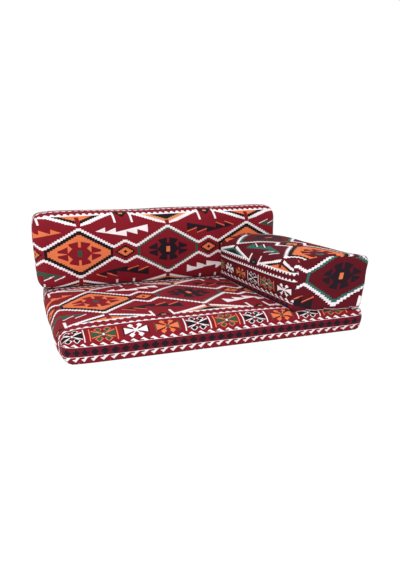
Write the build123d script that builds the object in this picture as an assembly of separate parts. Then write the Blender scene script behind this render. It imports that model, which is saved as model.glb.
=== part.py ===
from build123d import *
import math
import os

# A floor sofa of three loose cushions: a seat mattress, a back cushion that stands on its
# rear edge, and an arm cushion at its right side. Each is a foam core in a zipped cover.
# X runs to the right along the front, Y to the rear, Z up. The origin is on the floor,
# in the middle of the sofa's outer box. All lengths are in millimetres.

# Seat mattress
seat_width = 1000.0
seat_depth = 750.0
seat_height = 88.0
seat_swell = 8.0
seat_front_swell = 4.0
seat_nose_radius = 36.0
seat_shoulder_radius = 26.0
seat_foot_radius = 16.0
seat_cap_depth = 34.0
seat_cap_inset = 26.0
seat_zip_margin = 70.0
seat_zip_height = 40.0

# Back cushion
back_width = 1000.0
back_depth = 150.0
back_height = 285.0
back_overhang = 16.0
back_swell = 10.0
back_top_swell = 9.0
back_shoulder_radius = 36.0
back_foot_radius = 22.0
back_cap_depth = 46.0
back_cap_inset = 30.0
back_zip_margin = 72.0
back_zip_rise = 52.0

# Arm cushion
arm_width = 241.0
arm_front_setback = 21.5
arm_front_turn = 6.0
arm_inner_drift = 22.0
arm_outer_lean = 20.0
arm_inner_height = 170.0
arm_outer_height = 166.0
arm_side_inset = 20.0
arm_side_swell = 6.0
arm_top_swell = 8.0
arm_inner_shoulder_radius = 44.0
arm_outer_shoulder_radius = 22.0
arm_foot_radius = 18.0
arm_cap_depth = 16.0
arm_cap_inset = 9.0
arm_zip_margin = 58.0
arm_zip_rise = 44.0

# Cover cloth, and the space left between soft pieces
cloth_thickness = 1.5
soft_ease = 0.3
overrun = 5.0

# Nylon coil zip
tape_width = 14.0
tape_thickness = 0.6
chain_gap = 1.4
coil_width = 2.6
coil_height = 1.8
coil_edge_radius = 0.8
zip_window_width = 13.0
stop_length = 3.0
tape_tail = 12.0
zip_relief_depth = 2.6

# Zip slider and pull tab
slider_length = 11.0
slider_plate = 1.0
slider_ease = 0.25
slider_post_thickness = 0.8
slider_post_length = 3.0
slider_flange_thickness = 0.9
slider_corner_radius = 1.4
slider_end_margin = 2.0
bridge_length = 7.0
bridge_width = 2.0
bridge_thickness = 0.9
pull_bar_diameter = 1.2
pull_arm_width = 1.2
pull_arm_thickness = 1.0
pull_width = 7.0
pull_length = 26.0
pull_eye_length = 8.0
pull_hole_diameter = 2.4
pull_corner_radius = 2.0

# How far each loose cushion lifts to come clear of its neighbours
lift_margin = 20.0

# Where each cushion's outer faces lie
sofa_width = seat_width + back_overhang
seat_left = back_overhang - sofa_width / 2
seat_right = sofa_width / 2
seat_front = -seat_depth / 2
seat_rear = seat_depth / 2
back_left = -sofa_width / 2
back_right = back_left + back_width
back_front = seat_rear - back_depth
back_foot = seat_height + soft_ease
back_top = back_foot + back_height
arm_right = seat_right - arm_side_inset
arm_left = arm_right - arm_width
arm_left_rear = arm_left - arm_inner_drift
arm_front = seat_front + arm_front_setback
arm_rear = back_front - soft_ease
arm_foot = seat_height + soft_ease
seat_zip_length = seat_width - 2 * seat_zip_margin
back_zip_length = back_width - 2 * back_zip_margin
arm_zip_length = arm_rear - arm_front - 2 * arm_zip_margin
arm_lean_slope = arm_outer_lean / arm_outer_height

# Shares along a cushion where its cross-sections stand
cap_shares = (0, 0.07, 0.28, 1)
swell_shares = (0, 0.25, 0.5, 0.75, 1)


def across_x(x):
    """The plane of a cross-section at x, with Y to its right and Z up."""
    return Plane(origin=(x, 0, 0), x_dir=(0, 1, 0), z_dir=(1, 0, 0))


def across_arm(y, turn):
    """The plane of the arm's cross-section that meets its inner side at y, turned by turn."""
    return Plane(origin=(arm_left, y, 0), x_dir=(math.cos(turn), -math.sin(turn), 0),
                 z_dir=(-math.sin(turn), -math.cos(turn), 0))


def corner_sag(radius):
    """How far a quarter round of this radius stands out from its chord."""
    return radius * (1 - math.sqrt(0.5))


def section(plane, corners, sags):
    """A closed face through the corners, each edge swelling outwards by its sag."""
    edges = []
    for place, sag in enumerate(sags):
        start = Vector(*corners[place])
        end = Vector(*corners[(place + 1) % len(corners)])
        if sag == 0:
            edges.append(Line(start, end))
            continue
        along = end - start
        outward = Vector(along.Y, -along.X).normalized()
        edges.append(ThreePointArc(start, (start + end) * 0.5 + outward * sag, end))
    return plane * make_face(edges)


def cap_stations(outer, inner, inset):
    """Places and insets of a domed end, from its outermost section inwards."""
    stations = []
    for share in cap_shares:
        place = outer + (inner - outer) * share
        drawn_in = inset * (1 - math.sqrt(1 - (1 - share) ** 2))
        stations.append((place, drawn_in, 0))
    return stations


def swelling_stations(start, end):
    """Places along a free stretch, with the share of the full swell at each."""
    stations = []
    for share in swell_shares:
        stations.append((start + (end - start) * share, 0, 4 * share * (1 - share)))
    return stations


def pressed_stations(start, end):
    """The two ends of a stretch that a neighbour holds flat."""
    return [(start, 0, 0), (end, 0, 0)]


def cushion(face_at, stretches):
    """Lofts each stretch of a cushion through its sections and joins them."""
    body = None
    for stations in stretches:
        faces = [face_at(*station) for station in stations]
        swelling = any(swell for place, inset, swell in stations)
        piece = loft(faces, ruled=not swelling)
        body = piece if body is None else body + piece
    return body


def seat_form(skin):
    """The seat's outer form, drawn in all round by a skin."""
    def face_at(x, inset, swell):
        front = seat_front + skin + inset
        rear = seat_rear - skin - inset
        foot = skin + inset * 0.5
        top = seat_height - skin - inset
        nose = seat_nose_radius - skin - inset * 0.5
        shoulder = seat_shoulder_radius - skin - inset * 0.5
        heel = seat_foot_radius - skin - inset * 0.25
        corners = [
            (front + heel, foot), (rear - heel, foot),
            (rear, foot + heel), (rear, top - shoulder),
            (rear - shoulder, top), (back_front, top),
            (front + nose, top), (front, top - nose),
            (front, foot + heel),
        ]
        sags = [0, corner_sag(heel), 0, corner_sag(shoulder), 0, seat_swell * swell,
                corner_sag(nose), seat_front_swell, corner_sag(heel)]
        return section(across_x(x), corners, sags)

    left = seat_left + skin
    right = seat_right - skin
    return cushion(face_at, [
        cap_stations(left, left + seat_cap_depth, seat_cap_inset),
        swelling_stations(left + seat_cap_depth, arm_left_rear),
        pressed_stations(arm_left_rear, right - seat_cap_depth),
        cap_stations(right, right - seat_cap_depth, seat_cap_inset)[::-1],
    ])


def back_form(skin):
    """The back's outer form, drawn in all round by a skin."""
    def face_at(x, inset, swell):
        front = back_front + skin + inset
        rear = seat_rear - skin - inset
        foot = back_foot + skin + inset * 0.4
        top = back_top - skin - inset * 0.5
        shoulder = back_shoulder_radius - skin - inset * 0.4
        heel = back_foot_radius - skin - inset * 0.3
        corners = [
            (front + heel, foot), (rear - heel, foot),
            (rear, foot + heel), (rear, top - shoulder),
            (rear - shoulder, top), (front + shoulder, top),
            (front, top - shoulder), (front, foot + heel),
        ]
        sags = [0, corner_sag(heel), 0, corner_sag(shoulder), back_top_swell,
                corner_sag(shoulder), back_swell * swell, corner_sag(heel)]
        return section(across_x(x), corners, sags)

    left = back_left + skin
    right = back_right - skin
    return cushion(face_at, [
        cap_stations(left, left + back_cap_depth, back_cap_inset),
        swelling_stations(left + back_cap_depth, arm_left_rear),
        pressed_stations(arm_left_rear, right - back_cap_depth),
        cap_stations(right, right - back_cap_depth, back_cap_inset)[::-1],
    ])


def arm_form(skin):
    """The arm's outer form, drawn in all round by a skin. Its front is turned a little,
    its inner side drifts inwards to the rear and its outer side leans out."""
    def face_at(y, inset, swell):
        rear_share = (y - arm_front) / (arm_rear - arm_front)
        turn = math.radians(arm_front_turn) * (1 - rear_share)
        inner = (skin + inset - arm_inner_drift * rear_share) / math.cos(turn)
        foot = arm_foot + skin + inset * 0.5

        def outer_at(height):
            lean = arm_lean_slope * (height - arm_foot)
            return (arm_width - skin - inset + lean) / math.cos(turn)

        inner_top = arm_foot + arm_inner_height - skin - inset
        outer_top = arm_foot + arm_outer_height - skin - inset
        inner_shoulder = arm_inner_shoulder_radius - skin
        outer_shoulder = arm_outer_shoulder_radius - skin
        heel = arm_foot_radius - skin
        outer_low = foot + heel
        outer_high = outer_top - outer_shoulder
        corners = [
            (inner + heel, foot), (outer_at(foot) - heel, foot),
            (outer_at(outer_low), outer_low), (outer_at(outer_high), outer_high),
            (outer_at(outer_top) - outer_shoulder, outer_top), (inner + inner_shoulder, inner_top),
            (inner, inner_top - inner_shoulder), (inner, foot + heel),
        ]
        sags = [0, corner_sag(heel), 0, corner_sag(outer_shoulder),
                arm_top_swell * (1 + swell), corner_sag(inner_shoulder),
                arm_side_swell * swell, corner_sag(heel)]
        return section(across_arm(y, turn), corners, sags)

    front = arm_front + skin
    rear = arm_rear - skin
    return cushion(face_at, [
        cap_stations(front, front + arm_cap_depth, arm_cap_inset),
        swelling_stations(front + arm_cap_depth, rear - arm_cap_depth),
        cap_stations(rear, rear - arm_cap_depth, arm_cap_inset)[::-1],
    ])


def block(low, high):
    """A box between two opposite corners."""
    size = [b - a for a, b in zip(low, high)]
    middle = [(a + b) / 2 for a, b in zip(low, high)]
    return Pos(*middle) * Box(*size)


def save(shape, node):
    """Writes one node, whose name is also its file's name."""
    shape.label = node
    export_step(shape, f"parts/{node}.step")


def zip_slider(at):
    """A slider round both coils, with a bridge for its pull, in the zip's own frame."""
    chain_half = chain_gap / 2 + coil_width
    coil_foot = -cloth_thickness
    tape_under = coil_foot - tape_thickness
    half_width = chain_half + slider_ease + slider_flange_thickness
    lower_top = tape_under - slider_ease
    upper_foot = coil_foot + coil_height + slider_ease
    upper_top = upper_foot + slider_plate
    half_length = slider_length / 2
    lower = block((at - half_length, -half_width, lower_top - slider_plate),
                  (at + half_length, half_width, lower_top))
    upper = block((at - half_length, -half_width, upper_foot),
                  (at + half_length, half_width, upper_top))
    post = block((at - half_length, -slider_post_thickness / 2, lower_top),
                 (at - half_length + slider_post_length, slider_post_thickness / 2, upper_foot))
    lower = fillet(lower.edges().filter_by(Axis.Z), slider_corner_radius)
    upper = fillet(upper.edges().filter_by(Axis.Z), slider_corner_radius)
    body = lower + upper + post
    for side in (-1, 1):
        edge = side * half_width
        inner = edge - side * slider_flange_thickness
        body += block((at - half_length + slider_corner_radius, min(edge, inner),
                       coil_foot + slider_ease),
                      (at + half_length - slider_corner_radius, max(edge, inner), upper_foot))
    eye = pull_bar_diameter + 2 * slider_ease
    bridge = block((at - bridge_length / 2, -bridge_width / 2, upper_top),
                   (at + bridge_length / 2, bridge_width / 2, upper_top + eye + bridge_thickness))
    bridge = fillet(bridge.edges().filter_by(Axis.Y).sort_by(Axis.Z)[-2:], bridge_thickness)
    bridge -= block((at - eye / 2, -bridge_width, upper_top),
                    (at + eye / 2, bridge_width, upper_top + eye))
    return body + bridge, upper_top + eye / 2


def zip_pull(at, bar_height):
    """A pull tab lying along the zip, its bar through the slider's bridge."""
    arm_inner = bridge_width / 2 + slider_ease
    arm_outer = arm_inner + pull_arm_width
    bar = Pos(at, 0, bar_height) * Rot(90, 0, 0) * Cylinder(pull_bar_diameter / 2, 2 * arm_outer)
    tab_start = at + pull_eye_length
    half = pull_arm_thickness / 2
    pull = bar
    for side in (-1, 1):
        low, high = sorted((side * arm_inner, side * arm_outer))
        pull += block((at, low, bar_height - half), (tab_start, high, bar_height + half))
    tab = block((tab_start, -pull_width / 2, bar_height - half),
                (at + pull_length, pull_width / 2, bar_height + half))
    tab = fillet(tab.edges().filter_by(Axis.Z), pull_corner_radius)
    hole_at = at + pull_length - pull_width / 2
    tab -= Pos(hole_at, 0, bar_height) * Cylinder(pull_hole_diameter / 2, pull_arm_thickness * 2)
    return pull + tab


def make_zip(name, plane, length, side_names):
    """Tapes, coils, end stops, slider and pull of one zip, set on its cover."""
    chain_half = chain_gap / 2 + coil_width
    coil_foot = -cloth_thickness
    coil_length = length - 2 * (tape_tail + stop_length)
    for side, side_name in zip((1, -1), side_names):
        low, high = sorted((side * chain_gap / 2, side * (chain_gap / 2 + tape_width)))
        tape = block((-length / 2, low, coil_foot - tape_thickness),
                     (length / 2, high, coil_foot))
        save(plane * tape, f"{name}_zip_{side_name}_tape")
        low, high = sorted((side * chain_gap / 2, side * chain_half))
        coil = block((-coil_length / 2, low, coil_foot),
                     (coil_length / 2, high, coil_foot + coil_height))
        crown = coil.edges().filter_by(Axis.X).sort_by(Axis.Z)[-2:]
        save(plane * fillet(crown, coil_edge_radius), f"{name}_zip_{side_name}_coil")
    stops = []
    for end in (-1, 1):
        near = end * coil_length / 2
        low, high = sorted((near, near + end * stop_length))
        stops.append(plane * block((low, -chain_half, coil_foot),
                                   (high, chain_half, coil_foot + coil_height)))
    save(Compound(children=stops), f"{name}_zip_end_stops")
    at = slider_end_margin + slider_length / 2 - coil_length / 2
    slider, bar_height = zip_slider(at)
    save(plane * slider, f"{name}_zip_slider")
    save(plane * zip_pull(at, bar_height), f"{name}_zip_pull_tab")
    travel = coil_length - 2 * slider_end_margin - slider_length
    bar_place = plane.from_local_coords(Vector(at, 0, bar_height))
    print(f"{name} zip: travel {travel:.3f}, pull bar at {bar_place}")


def zip_relief(plane, length):
    """The hollow that a zip presses into the foam behind it."""
    half = chain_gap / 2 + tape_width + soft_ease
    foam_face = cloth_thickness + soft_ease
    return plane * block((-length / 2, -half, -foam_face - zip_relief_depth),
                         (length / 2, half, overrun))


def zip_window(plane, length):
    """The slot between the two cloth strips in which a zip shows."""
    return plane * block((-length / 2 + tape_tail, -zip_window_width / 2, -overrun),
                         (length / 2 - tape_tail, zip_window_width / 2, overrun))


def split_cover(name, cover, parts):
    """Cuts a cover into its panels: each takes its region from what the others left."""
    for panel_name, region in parts:
        panel = cover & region
        cover = cover - region
        save(panel, f"{name}_{panel_name}")
    return cover


def rear_plane(left, right, height):
    """A zip's frame in the middle of a flat rear face, running to -X with its upper side up."""
    return Plane(origin=((left + right) / 2, seat_rear, height),
                 x_dir=(-1, 0, 0), z_dir=(0, 1, 0))


# Regions that the seams part the covers by, reaching past the cushions on every side
far_left = min(seat_left, back_left) - overrun
far_right = max(seat_right, back_right, arm_right + arm_outer_lean) + overrun
far_front = seat_front - seat_front_swell - overrun
far_rear = seat_rear + overrun
floor_under = -overrun
far_top = back_top + back_top_swell + overrun


def make_seat():
    """The seat mattress: core, six cloth panels and the zip in its rear face."""
    plane = rear_plane(seat_left, seat_right, seat_zip_height)
    cover = seat_form(0) - seat_form(cloth_thickness) - zip_window(plane, seat_zip_length)
    rear_seam = seat_rear - seat_foot_radius
    foot_seam = seat_foot_radius
    top = split_cover("seat", cover, [
        ("left_end_panel", block((far_left, far_front, floor_under),
                                 (seat_left + seat_cap_depth, far_rear, far_top))),
        ("right_end_panel", block((seat_right - seat_cap_depth, far_front, floor_under),
                                  (far_right, far_rear, far_top))),
        ("rear_upper_strip", block((far_left, rear_seam, seat_zip_height),
                                   (far_right, far_rear, far_top))),
        ("rear_lower_strip", block((far_left, rear_seam, floor_under),
                                   (far_right, far_rear, seat_zip_height))),
        ("base_panel", block((far_left, far_front, floor_under),
                             (far_right, rear_seam, foot_seam))),
    ])
    save(top, "seat_top_front_cover")
    core = seat_form(cloth_thickness + soft_ease) - zip_relief(plane, seat_zip_length)
    save(core, "seat_foam_core")
    make_zip("seat", plane, seat_zip_length, ("upper", "lower"))


def make_back():
    """The back cushion: core, six cloth panels and the zip low in its rear face."""
    zip_height = back_foot + back_zip_rise
    plane = rear_plane(back_left, back_right, zip_height)
    cover = back_form(0) - back_form(cloth_thickness) - zip_window(plane, back_zip_length)
    rear_seam = seat_rear - back_foot_radius
    foot_seam = back_foot + back_foot_radius
    face = split_cover("back", cover, [
        ("left_end_panel", block((far_left, far_front, floor_under),
                                 (back_left + back_cap_depth, far_rear, far_top))),
        ("right_end_panel", block((back_right - back_cap_depth, far_front, floor_under),
                                  (far_right, far_rear, far_top))),
        ("rear_upper_panel", block((far_left, rear_seam, zip_height),
                                   (far_right, far_rear, far_top))),
        ("rear_lower_strip", block((far_left, rear_seam, floor_under),
                                   (far_right, far_rear, zip_height))),
        ("base_panel", block((far_left, far_front, floor_under),
                             (far_right, rear_seam, foot_seam))),
    ])
    save(face, "back_front_top_cover")
    core = back_form(cloth_thickness + soft_ease) - zip_relief(plane, back_zip_length)
    save(core, "back_foam_core")
    make_zip("back", plane, back_zip_length, ("upper", "lower"))


def make_arm():
    """The arm cushion: core, six cloth panels and the zip low in its outer side."""
    zip_height = arm_foot + arm_zip_rise
    plane = Plane(origin=(arm_right + arm_lean_slope * arm_zip_rise,
                          (arm_front + arm_rear) / 2, zip_height),
                  x_dir=(0, -1, 0), z_dir=(1, 0, -arm_lean_slope))
    cover = arm_form(0) - arm_form(cloth_thickness) - zip_window(plane, arm_zip_length)
    outer_seam = arm_right - arm_foot_radius
    shoulder_seam = arm_right - arm_outer_shoulder_radius / 4
    foot_seam = arm_foot + arm_foot_radius
    before_seam = block((-arm_width, -arm_width, floor_under), (2 * arm_width, 0, far_top))
    front_seam = Pos(arm_left, arm_front + arm_cap_depth, 0) * Rot(0, 0, -arm_front_turn)
    wrap = split_cover("arm", cover, [
        ("front_panel", front_seam * before_seam),
        ("rear_panel", block((far_left, arm_rear - arm_cap_depth, floor_under),
                             (far_right, far_rear, far_top))),
        ("outer_upper_panel", block((shoulder_seam, far_front, zip_height),
                                    (far_right, far_rear, far_top))),
        ("outer_lower_strip", block((outer_seam, far_front, floor_under),
                                    (far_right, far_rear, zip_height))),
        ("base_panel", block((far_left, far_front, floor_under),
                             (outer_seam, far_rear, foot_seam))),
    ])
    save(wrap, "arm_side_top_cover")
    core = arm_form(cloth_thickness + soft_ease) - zip_relief(plane, arm_zip_length)
    save(core, "arm_foam_core")
    make_zip("arm", plane, arm_zip_length, ("lower", "upper"))


make_seat()
make_back()
make_arm()
print(f"back lift {max(arm_inner_height, arm_outer_height) + lift_margin:.3f}")
print(f"arm lift {back_height + back_top_swell + lift_margin:.3f}")
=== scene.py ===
import math

import bmesh
import bpy
import numpy as np
from mathutils import Matrix, Vector
from mathutils.bvhtree import BVHTree


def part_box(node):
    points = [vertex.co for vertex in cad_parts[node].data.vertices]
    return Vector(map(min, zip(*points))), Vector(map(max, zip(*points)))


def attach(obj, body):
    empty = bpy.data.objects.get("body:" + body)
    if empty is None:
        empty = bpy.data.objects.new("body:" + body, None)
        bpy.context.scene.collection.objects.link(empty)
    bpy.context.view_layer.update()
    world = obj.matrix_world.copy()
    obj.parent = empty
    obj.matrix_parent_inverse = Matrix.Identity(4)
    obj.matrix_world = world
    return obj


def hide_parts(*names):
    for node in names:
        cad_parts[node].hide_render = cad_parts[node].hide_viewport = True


# A floor sofa: a seat mattress with a loose back cushion and a loose arm cushion, each a
# zipped cover of kilim cloth over foam. Lengths are in metres, in the frame of the solids.
# Cloth coordinates and the kilim's motifs are in millimetres of cloth.

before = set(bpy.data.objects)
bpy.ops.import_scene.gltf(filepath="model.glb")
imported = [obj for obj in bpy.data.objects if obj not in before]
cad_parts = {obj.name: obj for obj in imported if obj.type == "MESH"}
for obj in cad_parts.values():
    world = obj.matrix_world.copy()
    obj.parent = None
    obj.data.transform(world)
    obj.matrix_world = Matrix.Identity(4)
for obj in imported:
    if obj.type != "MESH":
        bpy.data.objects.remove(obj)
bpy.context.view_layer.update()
MM = 0.001

# ---- yarns and colours

YARNS = ("crimson", "white", "black", "orange", "green", "tan", "navy", "wine")
MAIN_YARNS = {
    "crimson": (128, 24, 37), "white": (241, 232, 235), "black": (28, 19, 22),
    "orange": (224, 118, 74), "green": (50, 80, 64), "tan": (214, 136, 92),
    "navy": (35, 22, 31), "wine": (106, 20, 36),
}
# The arm's yarns: the crimson is darkened as painted shade, standing in for the arm's shaded
# faces; the green and tan are the arm cloth's own teal.
ARM_YARNS_WITH_PAINTED_SHADE = dict(MAIN_YARNS, crimson=(91, 16, 28), green=(42, 102, 92), tan=(40, 112, 100))
LINING = (24, 22, 24)
ZIP_TAPE = (104, 22, 36)
ZIP_COIL = (92, 20, 34)
NICKEL = (176, 174, 168)
THREAD = (92, 18, 32)
HEM = (196, 150, 156)


def linear(colour):
    """A colour written as on a screen, as the shader's linear red, green, blue and alpha."""
    parts = [c / 255 for c in colour]
    return tuple(c / 12.92 if c <= 0.04045 else ((c + 0.055) / 1.055) ** 2.4
                 for c in parts) + (1.0,)


# ---- node maths

def feed(tree, socket, value):
    """Links a socket to another one, or sets its value."""
    value = getattr(value, "socket", value)
    if isinstance(value, bpy.types.NodeSocket):
        tree.links.new(value, socket)
    else:
        socket.default_value = value


def add_node(tree, kind, sockets=(), **settings):
    """Adds a node with its settings and what feeds its sockets, and returns its outputs."""
    node = tree.nodes.new(kind)
    for name, value in settings.items():
        if name == "stops":
            while len(node.color_ramp.elements) < len(value):
                node.color_ramp.elements.new(1.0)
            for element, (place, colour) in zip(node.color_ramp.elements, value):
                element.position = place
                element.color = colour
        elif name == "interpolation":
            node.color_ramp.interpolation = value
        else:
            setattr(node, name, value)
    for key, value in dict(sockets).items():
        feed(tree, node.inputs[key], value)
    return node.outputs


def by_node(operation):
    """A method that runs a maths node on the number and on the others."""
    return lambda number, *others: number.finish.math(operation, number, *others)


class Num:
    """A number that varies over a surface, so that node maths reads as plain sums. A
    comparison gives a mask of ones and zeros."""

    def __init__(self, finish, socket):
        self.finish = finish
        self.socket = socket

    __add__ = __radd__ = by_node("ADD")
    __sub__ = by_node("SUBTRACT")
    __mul__ = __rmul__ = __and__ = by_node("MULTIPLY")
    __truediv__ = by_node("DIVIDE")
    __lt__ = by_node("LESS_THAN")
    __gt__ = by_node("GREATER_THAN")
    __abs__ = by_node("ABSOLUTE")
    __or__ = most = by_node("MAXIMUM")
    least = by_node("MINIMUM")
    floor = by_node("FLOOR")
    fract = by_node("FRACT")
    sign = by_node("SIGN")
    sine = by_node("SINE")
    pingpong = by_node("PINGPONG")

    def __rsub__(self, first): return self.finish.math("SUBTRACT", first, self)
    def __invert__(self): return 1 - self
    def between(self, low, high): return (self > low) & (self < high)


class Finish:
    """A material: its node tree, with one Principled shader to feed."""

    def __init__(self, name, roughness=0.8, **constants):
        self.material = bpy.data.materials.new(name)
        self.material.use_nodes = True
        self.tree = self.material.node_tree
        self.tree.nodes.clear()
        self.shader = self.tree.nodes.new("ShaderNodeBsdfPrincipled")
        self.feed("Roughness", roughness)
        for name, value in constants.items():
            self.feed(name.replace("_", " "), value)
        self.add("OutputMaterial", {"Surface": self.shader.outputs[0]})

    def add(self, kind, sockets=(), **settings):
        return add_node(self.tree, "ShaderNode" + kind, sockets, **settings)

    def math(self, operation, *values):
        return Num(self, self.add("Math", dict(enumerate(values)),
                                  operation=operation)[0])

    def cloth(self):
        """The piece's own cloth coordinates in millimetres, along and across the rows."""
        place = self.add("UVMap", uv_map="cloth")[0]
        return [part * 1000 for part in self.split(place)[:2]]

    def split(self, place):
        return [Num(self, part) for part in self.add("SeparateXYZ", {0: place})]

    def position(self, scale=(1, 1, 1)):
        """The place on the piece, for grain that follows no seam."""
        place = self.add("TexCoord")["Object"]
        return self.add("Mapping", {0: place, "Scale": scale})[0]

    def noise(self, place, scale, detail=2.0):
        return Num(self, self.add("TexNoise",
                                  {"Vector": place, "Scale": scale, "Detail": detail})[0])

    def vector(self, x, y, z=0.0):
        return self.add("CombineXYZ", {0: x, 1: y, 2: z})[0]

    def colour(self, colour, shade):
        """Colours the surface, darker and lighter with a grey shade."""
        mixed = self.add("Mix", {0: 1.0, 6: colour, 7: self.vector(shade, shade, shade)},
                         data_type="RGBA", blend_type="MULTIPLY")
        self.feed("Base Color", mixed[2])

    def bump(self, height, distance, strength):
        self.feed("Normal", self.add("Bump", {
            "Height": height, "Distance": distance, "Strength": strength})[0])

    def feed(self, name, value):
        feed(self.tree, self.shader.inputs[name], value)


def woven(yarn, *layers):
    """Weaves yarns in over a cloth, each where its mask is one, the last on top."""
    for mask, name in layers:
        index = YARNS.index(name) if isinstance(name, str) else name
        yarn = Num(yarn.finish, yarn.finish.add(
            "Mix", {0: mask, 2: yarn, 3: index}, data_type="FLOAT")[0])
    return yarn


def either(mask, name, other):
    """The index of the named yarn where the mask is one, and of the other yarn elsewhere."""
    return YARNS.index(other) + mask * (YARNS.index(name) - YARNS.index(other))


def by_turns(number):
    """Four masks, for the four colourings that follow each other along a row."""
    kind = (number * 0.25).fract() * 4
    return [kind.between(n - 0.5, n + 0.5) for n in range(4)]


# ---- the kilim

# Along a row of diamonds u runs from a diamond's middle, and v runs across the row, 0 in
# its middle and folded at the mirror line, so that each motif is drawn once.
DIAMOND_PITCH = 350
WEAVE_STEP = DIAMOND_PITCH / 36
STAR_PITCH = 100
FLAT_AT = 124
TOOTH_LINE = 142
TOOTH_HEIGHT = 15
STAR_LINE = 204
WAVE_LINE = 241.5
WAVE_PITCH = 31
WAVE_HEIGHT = 12.5
BAND_MIRROR = 255
OUTLINE_HALF = 5.2
POST = 34
RIB_PITCH = 2.4


def diamonds(yarn, u, v, green_rim, eyes, motif_width):
    """The main row of eight-cornered diamonds, linked by small hexagons with an eye."""
    stepped = (u / WEAVE_STEP).floor() * WEAVE_STEP + WEAVE_STEP / 2
    number = ((u + DIAMOND_PITCH / 2) / DIAMOND_PITCH).floor()
    second = (number * 0.5).fract() > 0.25
    middle = number * DIAMOND_PITCH
    out = abs(stepped - middle)
    smooth = abs(u - middle)
    link = DIAMOND_PITCH / 2 - smooth
    outline = (94.5 - out * 0.571).most(((out - 134) * 0.52 + 22).least(43.5).most(22))
    inner = outline - OUTLINE_HALF
    rim = green_rim + second * (15 - green_rim)
    linked = (smooth > FLAT_AT) & eyes
    eye_step = (link / 7).floor() * 7 + 3.5
    x = smooth / motif_width
    petal_top = x.between(5, 40) & (v > 22) & (v < 46.5 - (x - 5) * 0.22) \
        & (v > 22 + (x - 30) * 1.1)
    petal_side = x.between(44, 80) & (v > (x - 44) * 0.16) & (v < 28 - (x - 44) * 0.42)
    body = (v < 25) & (x + v * 0.95 < 47)
    yarn = woven(
        yarn,
        ((out < FLAT_AT) & (v < inner), either(second, "black", "green")),
        ((out + rim * 0.5 < FLAT_AT) & (v + rim < inner), either(second, "orange", "crimson")),
        (abs(v - outline) < OUTLINE_HALF, "white"),
        (linked & (eye_step / 40 + v / 27 < 1), "black"),
        (linked & (eye_step / 30 + v / 18 < 1), "orange"),
        (linked & (link / 8 + v / 7 < 1), "black"),
        (petal_top | petal_side | body, either(second, "crimson", "navy")),
        ((x < 8) & (v < 11), either(second, "green", "orange")))
    return yarn, second, out, smooth, link


def triangles(yarn, second, out, smooth, link, u, v, tooth_pitch, second_row):
    """The flat triangles on the diamonds' points, up to the toothed line."""
    edge = out * 0.275 + 107
    wide = (out < DIAMOND_PITCH / 2 - POST) & (v < TOOTH_LINE)
    tooth = (1 - abs((u / tooth_pitch).fract() - 0.5) * 2) * TOOTH_HEIGHT
    row = link > POST - 1
    teeth = (v > TOOTH_LINE - 4) & (v < TOOTH_LINE - 4 + tooth) & (v < TOOTH_LINE + 6)
    second_teeth = (v < second_row + 1) & (v > second_row + 4 - tooth) & (v > second_row - 6)
    return woven(
        yarn,
        (wide & (v > edge + 4.5), either(second, "black", "tan")),
        (wide & (v > edge + 13.5), either(second, "orange", "navy")),
        (wide & (smooth > 8) & (abs(v - edge) < 4.8), "white"),
        ((smooth < 8) & v.between(100, 119 + second * 15), "crimson"),
        (row & (v.between(TOOTH_LINE - 3.6, TOOTH_LINE - 0.4) | teeth), "white"),
        ((abs(link - POST) < 4.2) & v.between(114, TOOTH_LINE + 9), "white"),
        ((link < 30) & v.between(130, 152) & (link < (v - 128) * 1.4), "black"),
        ((link < 8) & v.between(141, 147), "tan"),
        (v.between(second_row, second_row + 2.4) | second_teeth, "white"))


def combs(yarn, u, v):
    """The slanting combs of three teeth over each link, in four colours by turns."""
    number = (u / DIAMOND_PITCH).floor()
    odd = (number * 0.5).fract() > 0.25
    x = (u - (number + 0.5) * DIAMOND_PITCH) * (odd * 2 - 1)
    left_top = 81 - (x + 116) * 0.06 + ((x + 116) / 41).fract() * 18
    right_top = (x + 34) * 0.2 + 77
    left_foot = 83 - (x + 116) * 0.186
    right_foot = (x - 8) * 0.15 + 79 - ((x - 8) / 43).fract() * 20
    in_left = x.between(-116, -34)
    in_right = x.between(8, 94)
    comb = (in_left & (v < left_top) & (v > left_foot)) \
        | (x.between(-34, 8) & (v < right_top) & (v > left_foot)) \
        | (in_right & (v < right_top) & (v > right_foot))
    rows_of_lines = (in_left & v.between(left_top + 3, left_top + 6.5)) \
        | (in_right & v.between(right_foot - 6.5, right_foot - 3))
    turns = by_turns(number)
    return woven(
        yarn,
        (comb & turns[0], "navy"),
        (comb & turns[1], "green"),
        (comb & turns[2], "orange"),
        (comb & turns[3], "white"),
        (rows_of_lines & turns[0], "orange"),
        (rows_of_lines & turns[1], "white"))


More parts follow.
